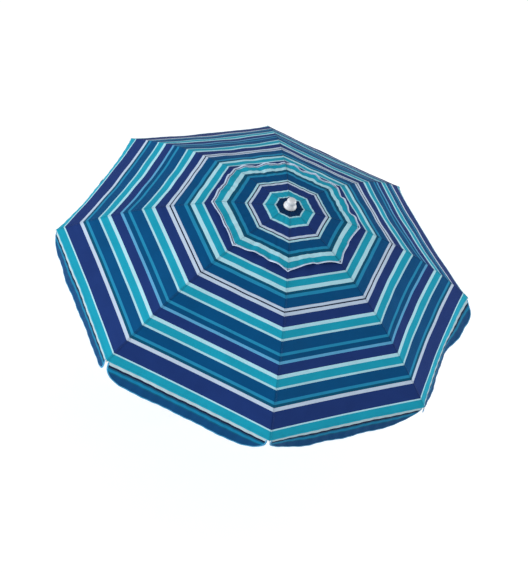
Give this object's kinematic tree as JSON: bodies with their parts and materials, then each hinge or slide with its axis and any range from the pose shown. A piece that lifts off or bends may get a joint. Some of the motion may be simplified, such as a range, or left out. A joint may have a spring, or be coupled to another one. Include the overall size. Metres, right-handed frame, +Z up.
{
  "type": "beach umbrella",
  "caption": "Folding beach umbrella with a striped octagonal canopy, vent cap, hanging flaps, telescopic pole and sand spike.",
  "frame": {"origin": "tip of the ground spike, on the pole's axis", "axes": "+Z up along the pole; +X along one rib; the clamp knob and the runner's button face -Y"},
  "size_m": [1.8048, 1.8048, 1.4945],
  "materials": {
    "canopy_cloth": "woven polyester in blue, teal, navy and white stripes",
    "vent_cloth": "the same striped cloth",
    "strap_cloth": "dark woven strap",
    "white_plastic": "moulded, satin",
    "white_steel": "white powder coat",
    "clip_steel": "zinc plated",
    "blue_plastic": "moulded, satin"
  },
  "bodies": {
    "ground_pole": {"lower_tube": "white_steel", "ground_spike": "white_plastic"},
    "upper_pole": {"upper_tube": "white_steel", "crown": "white_plastic", "crown_wire": "clip_steel", "finial": "white_plastic", "clamp_collar": "white_plastic"},
    "rib_arm_1": {"rib_1": "white_steel", "rib_joint_1": "clip_steel", "rib_tip_1": "white_plastic", "canopy_panel_1": "canopy_cloth", "vent_gore_1": "vent_cloth"},
    "rib_arm_2": {"rib_2": "white_steel", "rib_joint_2": "clip_steel", "rib_tip_2": "white_plastic", "canopy_panel_2": "canopy_cloth", "vent_gore_2": "vent_cloth"},
    "rib_arm_3": {"rib_3": "white_steel", "rib_joint_3": "clip_steel", "rib_tip_3": "white_plastic", "canopy_panel_3": "canopy_cloth", "vent_gore_3": "vent_cloth"},
    "rib_arm_4": {"rib_4": "white_steel", "rib_joint_4": "clip_steel", "rib_tip_4": "white_plastic", "canopy_panel_4": "canopy_cloth", "vent_gore_4": "vent_cloth", "tie_strap": "strap_cloth"},
    "rib_arm_5": {"rib_5": "white_steel", "rib_joint_5": "clip_steel", "rib_tip_5": "white_plastic", "canopy_panel_5": "canopy_cloth", "vent_gore_5": "vent_cloth"},
    "rib_arm_6": {"rib_6": "white_steel", "rib_joint_6": "clip_steel", "rib_tip_6": "white_plastic", "canopy_panel_6": "canopy_cloth", "vent_gore_6": "vent_cloth"},
    "rib_arm_7": {"rib_7": "white_steel", "rib_joint_7": "clip_steel", "rib_tip_7": "white_plastic", "canopy_panel_7": "canopy_cloth", "vent_gore_7": "vent_cloth"},
    "rib_arm_8": {"rib_8": "white_steel", "rib_joint_8": "clip_steel", "rib_tip_8": "white_plastic", "canopy_panel_8": "canopy_cloth", "vent_gore_8": "vent_cloth"},
    "stretcher_arm_1": {"stretcher_1": "white_steel"},
    "stretcher_arm_2": {"stretcher_2": "white_steel"},
    "stretcher_arm_3": {"stretcher_3": "white_steel"},
    "stretcher_arm_4": {"stretcher_4": "white_steel"},
    "stretcher_arm_5": {"stretcher_5": "white_steel"},
    "stretcher_arm_6": {"stretcher_6": "white_steel"},
    "stretcher_arm_7": {"stretcher_7": "white_steel"},
    "stretcher_arm_8": {"stretcher_8": "white_steel"},
    "runner_sleeve": {"runner": "white_plastic", "runner_wire": "clip_steel"},
    "catch_button": {"runner_catch": "blue_plastic"},
    "knob": {"clamp_knob": "blue_plastic"}
  },
  "joints": [
    {"name": "pole_slide", "type": "slide", "parent": "ground_pole", "child": "upper_pole", "axis": [0, 0, 1], "range_m": [-0.14, 0.5]},
    {"name": "canopy_fold", "type": "hinge", "parent": "upper_pole", "child": "rib_arm_1", "pos_m": [0.021, 0, 1.426], "axis": [0, 1, 0], "range_deg": [0, 67], "deforming": ["canopy_panel_1", "vent_gore_1", "canopy_panel_2", "vent_gore_2", "canopy_panel_3", "vent_gore_3", "canopy_panel_4", "vent_gore_4", "canopy_panel_5", "vent_gore_5", "canopy_panel_6", "vent_gore_6", "canopy_panel_7", "vent_gore_7", "canopy_panel_8", "vent_gore_8", "tie_strap"]},
    {"name": "rib_2_fold", "type": "hinge", "parent": "upper_pole", "child": "rib_arm_2", "pos_m": [0.01485, 0.01485, 1.426], "axis": [-0.7071, 0.7071, 0], "range_deg": [0, 67]},
    {"name": "rib_3_fold", "type": "hinge", "parent": "upper_pole", "child": "rib_arm_3", "pos_m": [0, 0.021, 1.426], "axis": [-1, 0, 0], "range_deg": [0, 67]},
    {"name": "rib_4_fold", "type": "hinge", "parent": "upper_pole", "child": "rib_arm_4", "pos_m": [-0.01485, 0.01485, 1.426], "axis": [-0.7071, -0.7071, 0], "range_deg": [0, 67]},
    {"name": "rib_5_fold", "type": "hinge", "parent": "upper_pole", "child": "rib_arm_5", "pos_m": [-0.021, 0, 1.426], "axis": [0, -1, 0], "range_deg": [0, 67]},
    {"name": "rib_6_fold", "type": "hinge", "parent": "upper_pole", "child": "rib_arm_6", "pos_m": [-0.01485, -0.01485, 1.426], "axis": [0.7071, -0.7071, 0], "range_deg": [0, 67]},
    {"name": "rib_7_fold", "type": "hinge", "parent": "upper_pole", "child": "rib_arm_7", "pos_m": [0, -0.021, 1.426], "axis": [1, 0, 0], "range_deg": [0, 67]},
    {"name": "rib_8_fold", "type": "hinge", "parent": "upper_pole", "child": "rib_arm_8", "pos_m": [0.01485, -0.01485, 1.426], "axis": [0.7071, 0.7071, 0], "range_deg": [0, 67]},
    {"name": "stretcher_1_pivot", "type": "hinge", "parent": "rib_arm_1", "child": "stretcher_arm_1", "pos_m": [0.42196, 0, 1.34511], "axis": [0, 1, 0], "range_deg": [-134, 0]},
    {"name": "stretcher_2_pivot", "type": "hinge", "parent": "rib_arm_2", "child": "stretcher_arm_2", "pos_m": [0.29837, 0.29837, 1.34511], "axis": [-0.7071, 0.7071, 0], "range_deg": [-134, 0]},
    {"name": "stretcher_3_pivot", "type": "hinge", "parent": "rib_arm_3", "child": "stretcher_arm_3", "pos_m": [0, 0.42196, 1.34511], "axis": [-1, 0, 0], "range_deg": [-134, 0]},
    {"name": "stretcher_4_pivot", "type": "hinge", "parent": "rib_arm_4", "child": "stretcher_arm_4", "pos_m": [-0.29837, 0.29837, 1.34511], "axis": [-0.7071, -0.7071, 0], "range_deg": [-134, 0]},
    {"name": "stretcher_5_pivot", "type": "hinge", "parent": "rib_arm_5", "child": "stretcher_arm_5", "pos_m": [-0.42196, 0, 1.34511], "axis": [0, -1, 0], "range_deg": [-134, 0]},
    {"name": "stretcher_6_pivot", "type": "hinge", "parent": "rib_arm_6", "child": "stretcher_arm_6", "pos_m": [-0.29837, -0.29837, 1.34511], "axis": [0.7071, -0.7071, 0], "range_deg": [-134, 0]},
    {"name": "stretcher_7_pivot", "type": "hinge", "parent": "rib_arm_7", "child": "stretcher_arm_7", "pos_m": [0, -0.42196, 1.34511], "axis": [1, 0, 0], "range_deg": [-134, 0]},
    {"name": "stretcher_8_pivot", "type": "hinge", "parent": "rib_arm_8", "child": "stretcher_arm_8", "pos_m": [0.29837, -0.29837, 1.34511], "axis": [0.7071, 0.7071, 0], "range_deg": [-134, 0]},
    {"name": "runner_pivot", "type": "hinge", "parent": "stretcher_arm_1", "child": "runner_sleeve", "pos_m": [0.021, 0, 1.26421], "axis": [0, 1, 0], "range_deg": [0, 67]},
    {"name": "catch_press", "type": "slide", "parent": "runner_sleeve", "child": "catch_button", "axis": [0, 1, 0], "range_m": [0, 0.0028], "stiffness_N_per_m": 400},
    {"name": "clamp_knob_turn", "type": "hinge", "parent": "upper_pole", "child": "knob", "pos_m": [0, -0.03, 0.386], "axis": [0, -1, 0], "range_deg": [0, 360]}
  ],
  "couplings": [
    {"joint": "rib_2_fold", "follows": "canopy_fold", "ratio": 1},
    {"joint": "rib_3_fold", "follows": "canopy_fold", "ratio": 1},
    {"joint": "rib_4_fold", "follows": "canopy_fold", "ratio": 1},
    {"joint": "rib_5_fold", "follows": "canopy_fold", "ratio": 1},
    {"joint": "rib_6_fold", "follows": "canopy_fold", "ratio": 1},
    {"joint": "rib_7_fold", "follows": "canopy_fold", "ratio": 1},
    {"joint": "rib_8_fold", "follows": "canopy_fold", "ratio": 1},
    {"joint": "stretcher_1_pivot", "follows": "canopy_fold", "ratio": -2},
    {"joint": "stretcher_2_pivot", "follows": "canopy_fold", "ratio": -2},
    {"joint": "stretcher_3_pivot", "follows": "canopy_fold", "ratio": -2},
    {"joint": "stretcher_4_pivot", "follows": "canopy_fold", "ratio": -2},
    {"joint": "stretcher_5_pivot", "follows": "canopy_fold", "ratio": -2},
    {"joint": "stretcher_6_pivot", "follows": "canopy_fold", "ratio": -2},
    {"joint": "stretcher_7_pivot", "follows": "canopy_fold", "ratio": -2},
    {"joint": "stretcher_8_pivot", "follows": "canopy_fold", "ratio": -2},
    {"joint": "runner_pivot", "follows": "canopy_fold", "ratio": 1}
  ]
}
